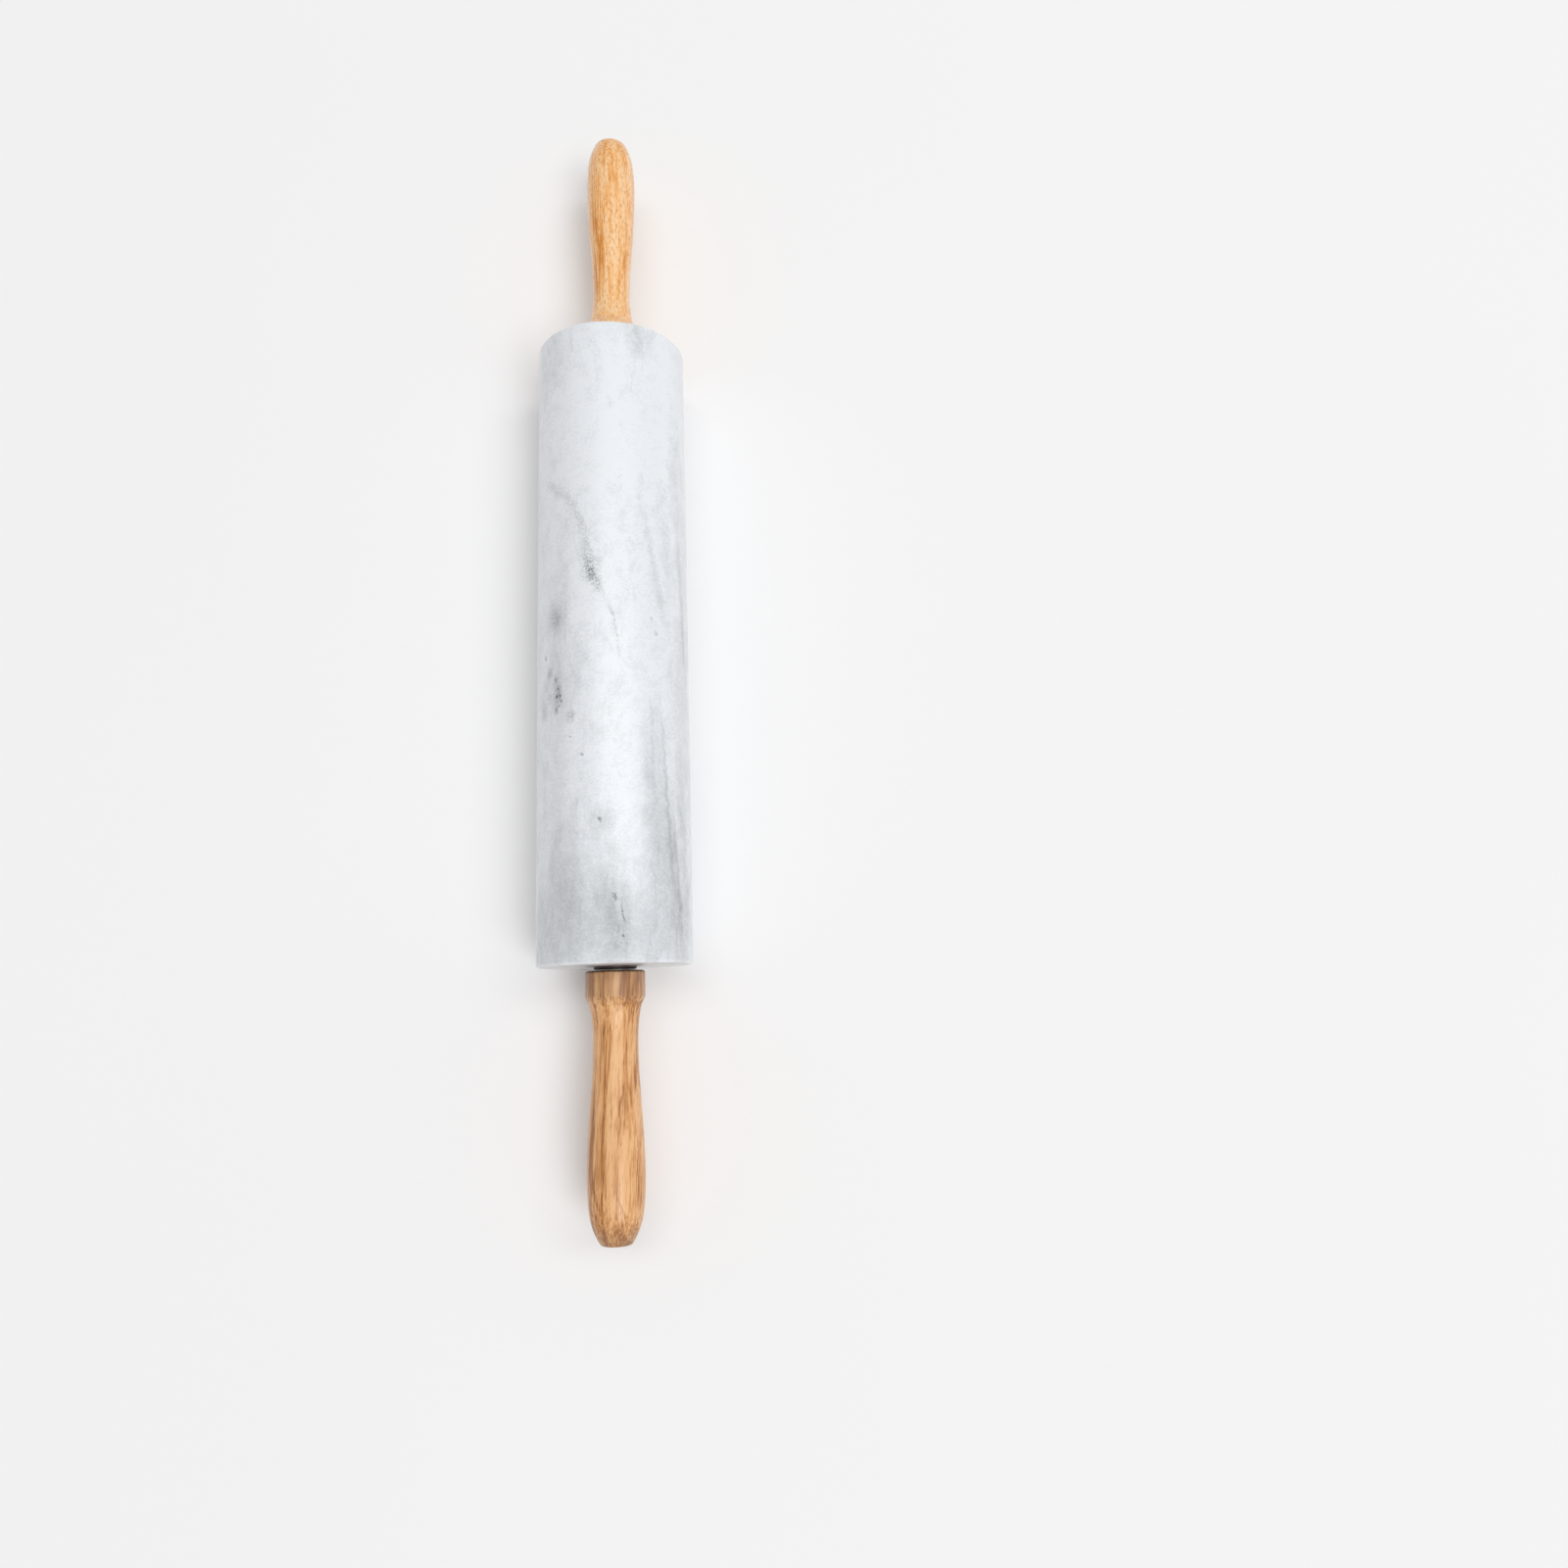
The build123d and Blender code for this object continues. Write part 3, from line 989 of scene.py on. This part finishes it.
class ROLLING_PIN_OT_barrel(Operator):
    """Turn the marble barrel, with its bore, and give it its stone"""

    bl_idname = "rolling_pin.barrel"
    bl_label = "Marble barrel"

    def execute(self, context):
        settings = context.scene.rolling_pin_barrel
        rows = surface_rows("marble_barrel")
        radius = rows[:, 1].max()
        in_bore = rows[:, 1] < BORE_SHARE * radius
        outside = finer(outer_outline(rows[~in_bore]), settings.row_length)
        bore = outer_outline(rows[in_bore])
        outline = np.vstack([outside, bore[::-1]])
        mesh = turned_mesh(
            "barrel_stone", outline, settings.facets, settings.waviness,
            waves_along=22.0, closed=True,
        )
        half_length = rows[:, 0].max()
        stone = marble_material(settings, MM_PER_METRE * radius, MM_PER_METRE * half_length)
        show_piece("barrel_stone", mesh, stone, "marble_barrel", "barrel")
        return {"FINISHED"}


class ROLLING_PIN_OT_near_handle(Operator):
    """Turn the near handle, with its blind bore, and give it its browner wood"""

    bl_idname = "rolling_pin.near_handle"
    bl_label = "Near handle"

    def execute(self, context):
        settings = context.scene.rolling_pin_near_handle
        mesh = handle_mesh("near_handle_wood", "handle_near", -1, settings, waves_along=40.0)
        low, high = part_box("handle_near")
        face, tip = -MM_PER_METRE * high.y, -MM_PER_METRE * low.y
        wood = wood_material("brown_wood_finish", settings, NEAR_WOOD, face, tip)
        show_piece("near_handle_wood", mesh, wood, "handle_near", "handle_frame")
        return {"FINISHED"}


class ROLLING_PIN_OT_far_handle(Operator):
    """Turn the far handle, with its blind bore, and give it its honey-coloured wood"""

    bl_idname = "rolling_pin.far_handle"
    bl_label = "Far handle"

    def execute(self, context):
        settings = context.scene.rolling_pin_far_handle
        mesh = handle_mesh("far_handle_wood", "handle_far", 1, settings, waves_along=43.0)
        low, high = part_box("handle_far")
        face, tip = MM_PER_METRE * low.y, MM_PER_METRE * high.y
        wood = wood_material("honey_wood_finish", settings, FAR_WOOD, face, tip)
        show_piece("far_handle_wood", mesh, wood, "handle_far", "handle_frame")
        return {"FINISHED"}


class ROLLING_PIN_OT_fittings(Operator):
    """Give the bushings, washers, inserts and rod their materials"""

    bl_idname = "rolling_pin.fittings"
    bl_label = "Fittings"

    def execute(self, context):
        settings = context.scene.rolling_pin_fittings
        nylon = nylon_material(settings)
        steel = metal_material(
            "rod_steel", settings.steel_colour, line_scale=3.0, low_rough=0.22, high_rough=0.36
        )
        washer_steel = metal_material(
            "pressed_steel", settings.steel_colour, line_scale=5.0, low_rough=0.30, high_rough=0.46
        )
        brass = metal_material(
            "insert_brass", settings.brass_colour, line_scale=4.0, low_rough=0.24, high_rough=0.40
        )
        dress("axle_rod", steel)
        for end in ("near", "far"):
            dress(f"bushing_{end}", nylon)
            dress(f"thrust_washer_{end}", washer_steel)
            dress(f"insert_{end}", brass)
        return {"FINISHED"}


def add_lamp(name, place, target, share, size):
    """A soft lamp aimed at a point on the floor, which gets this share of a white room's light."""
    lamp = bpy.data.lights.new(name, "AREA")
    lamp.shape = "RECTANGLE"
    lamp.size, lamp.size_y = size
    way = Vector(place) - Vector(target)
    lamp.energy = share * math.pi ** 2 * way.length_squared * way.length / way.z
    lamp_object = bpy.data.objects.new(name, lamp)
    lamp_object.location = place
    lamp_object.rotation_euler = way.to_track_quat("Z", "Y").to_euler()
    bpy.context.scene.collection.objects.link(lamp_object)
    return lamp


class ROLLING_PIN_OT_stage(Operator):
    """Lay the floor, hang the lamps and set up the camera"""

    bl_idname = "rolling_pin.stage"
    bl_label = "Studio"

    def execute(self, context):
        settings = context.scene.rolling_pin_stage
        self.lay_floor(settings)
        self.light(settings)
        self.set_camera(context, settings)
        context.scene.view_settings.view_transform = "Standard"
        return {"FINISHED"}

    def lay_floor(self, settings):
        """Lay a plain sheet under the barrel."""
        half = settings.floor_width / 2
        level = cad_low.z
        mesh = bpy.data.meshes.new("floor")
        corners = [
            (-half, -half, level), (half, -half, level), (half, half, level), (-half, half, level)
        ]
        mesh.from_pydata(corners, [], [(0, 1, 2, 3)])
        material, tree, shader = new_material("floor_paper")
        place = millimetres(tree)
        fibre = cloudy(tree, place, scale=0.9)
        mottle = cloudy(tree, place, scale=0.004, detail=2.0)
        duller = darkened(settings.floor_colour, FLOOR_DULLER)
        shade = blend(tree, mottle, opaque(settings.floor_colour), duller)
        tree.links.new(shade, shader.inputs["Base Color"])
        texture = bumped(tree, fibre, distance=0.00002, strength=0.3)
        tree.links.new(texture, shader.inputs["Normal"])
        shader.inputs["Roughness"].default_value = 0.9
        shader.inputs["Specular IOR Level"].default_value = 0.0
        mesh.materials.append(material)
        floor = bpy.data.objects.new("floor", mesh)
        bpy.context.scene.collection.objects.link(floor)

    def light(self, settings):
        """Fill the room with even light, show it pale behind the pin, and hang both lamps."""
        world = bpy.data.worlds.new("room")
        world.use_nodes = True
        tree = world.node_tree
        seen = add_node(tree, "ShaderNodeLightPath")
        direct = calculate(
            tree, "ADD",
            seen.outputs["Is Camera Ray"], seen.outputs["Is Transmission Ray"],
            clamp=True,
        )
        pale = add_node(
            tree, "ShaderNodeBackground",
            {"Color": (1.0, 1.0, 1.0, 1.0), "Strength": settings.room_seen},
        )
        fill = add_node(
            tree, "ShaderNodeBackground",
            {"Color": opaque(settings.room_colour), "Strength": settings.room_light},
        )
        mixed = add_node(
            tree, "ShaderNodeMixShader", {0: direct, 1: fill.outputs[0], 2: pale.outputs[0]}
        )
        tree.links.new(mixed.outputs[0], tree.nodes["World Output"].inputs["Surface"])
        bpy.context.scene.world = world
        floor_middle = (0.0, 0.0, cad_low.z)
        key = add_lamp(
            "key_lamp", settings.key_place, floor_middle, settings.key_level, settings.key_size
        )
        over = (settings.top_place[0], settings.top_place[1], cad_low.z)
        top = add_lamp("top_lamp", settings.top_place, over, settings.top_level, settings.top_size)
        for lamp in (key, top):
            lamp.color = settings.lamp_colour

    def set_camera(self, context, settings):
        """Put the camera above the near handle, looking down."""
        camera = bpy.data.cameras.new("camera")
        camera.lens = settings.camera_lens
        camera.sensor_width = 36.0
        camera.clip_start = 0.01
        camera_object = bpy.data.objects.new("camera", camera)
        camera_object.location = settings.camera_place
        camera_object.rotation_euler = Euler((settings.camera_tilt, 0.0, settings.camera_turn))
        context.scene.collection.objects.link(camera_object)
        context.scene.camera = camera_object


class ROLLING_PIN_PT_sidebar(Panel):
    """Buttons and settings for the rolling pin"""

    bl_idname = "ROLLING_PIN_PT_sidebar"
    bl_label = "Rolling pin"
    bl_space_type = "VIEW_3D"
    bl_region_type = "UI"
    bl_category = "Rolling pin"

    def draw(self, context):
        for operator, holder in STEPS:
            section = self.layout.box()
            section.operator(operator.bl_idname)
            settings = getattr(context.scene, holder)
            for name in settings.__annotations__:
                section.prop(settings, name)


# Each operator with the name under which the scene holds its settings, in the order they run
STEPS = (
    (ROLLING_PIN_OT_barrel, "rolling_pin_barrel"),
    (ROLLING_PIN_OT_near_handle, "rolling_pin_near_handle"),
    (ROLLING_PIN_OT_far_handle, "rolling_pin_far_handle"),
    (ROLLING_PIN_OT_fittings, "rolling_pin_fittings"),
    (ROLLING_PIN_OT_stage, "rolling_pin_stage"),
)

HOLDERS = {
    "rolling_pin_barrel": BarrelSettings,
    "rolling_pin_near_handle": NearHandleSettings,
    "rolling_pin_far_handle": FarHandleSettings,
    "rolling_pin_fittings": FittingSettings,
    "rolling_pin_stage": StageSettings,
}

CLASSES = (*HOLDERS.values(), *(operator for operator, holder in STEPS), ROLLING_PIN_PT_sidebar)


def register():
    """Register the classes and give the scene a place for each group of settings."""
    for each in CLASSES:
        bpy.utils.register_class(each)
    for holder, settings in HOLDERS.items():
        setattr(bpy.types.Scene, holder, PointerProperty(type=settings))


def unregister():
    """Take out what register put in."""
    for holder in HOLDERS:
        delattr(bpy.types.Scene, holder)
    for each in reversed(CLASSES):
        bpy.utils.unregister_class(each)


def main():
    """Register the add-on and run its operators in order."""
    register()
    bpy.ops.rolling_pin.barrel()
    bpy.ops.rolling_pin.near_handle()
    bpy.ops.rolling_pin.far_handle()
    bpy.ops.rolling_pin.fittings()
    bpy.ops.rolling_pin.stage()


if __name__ == "__main__":
    main()
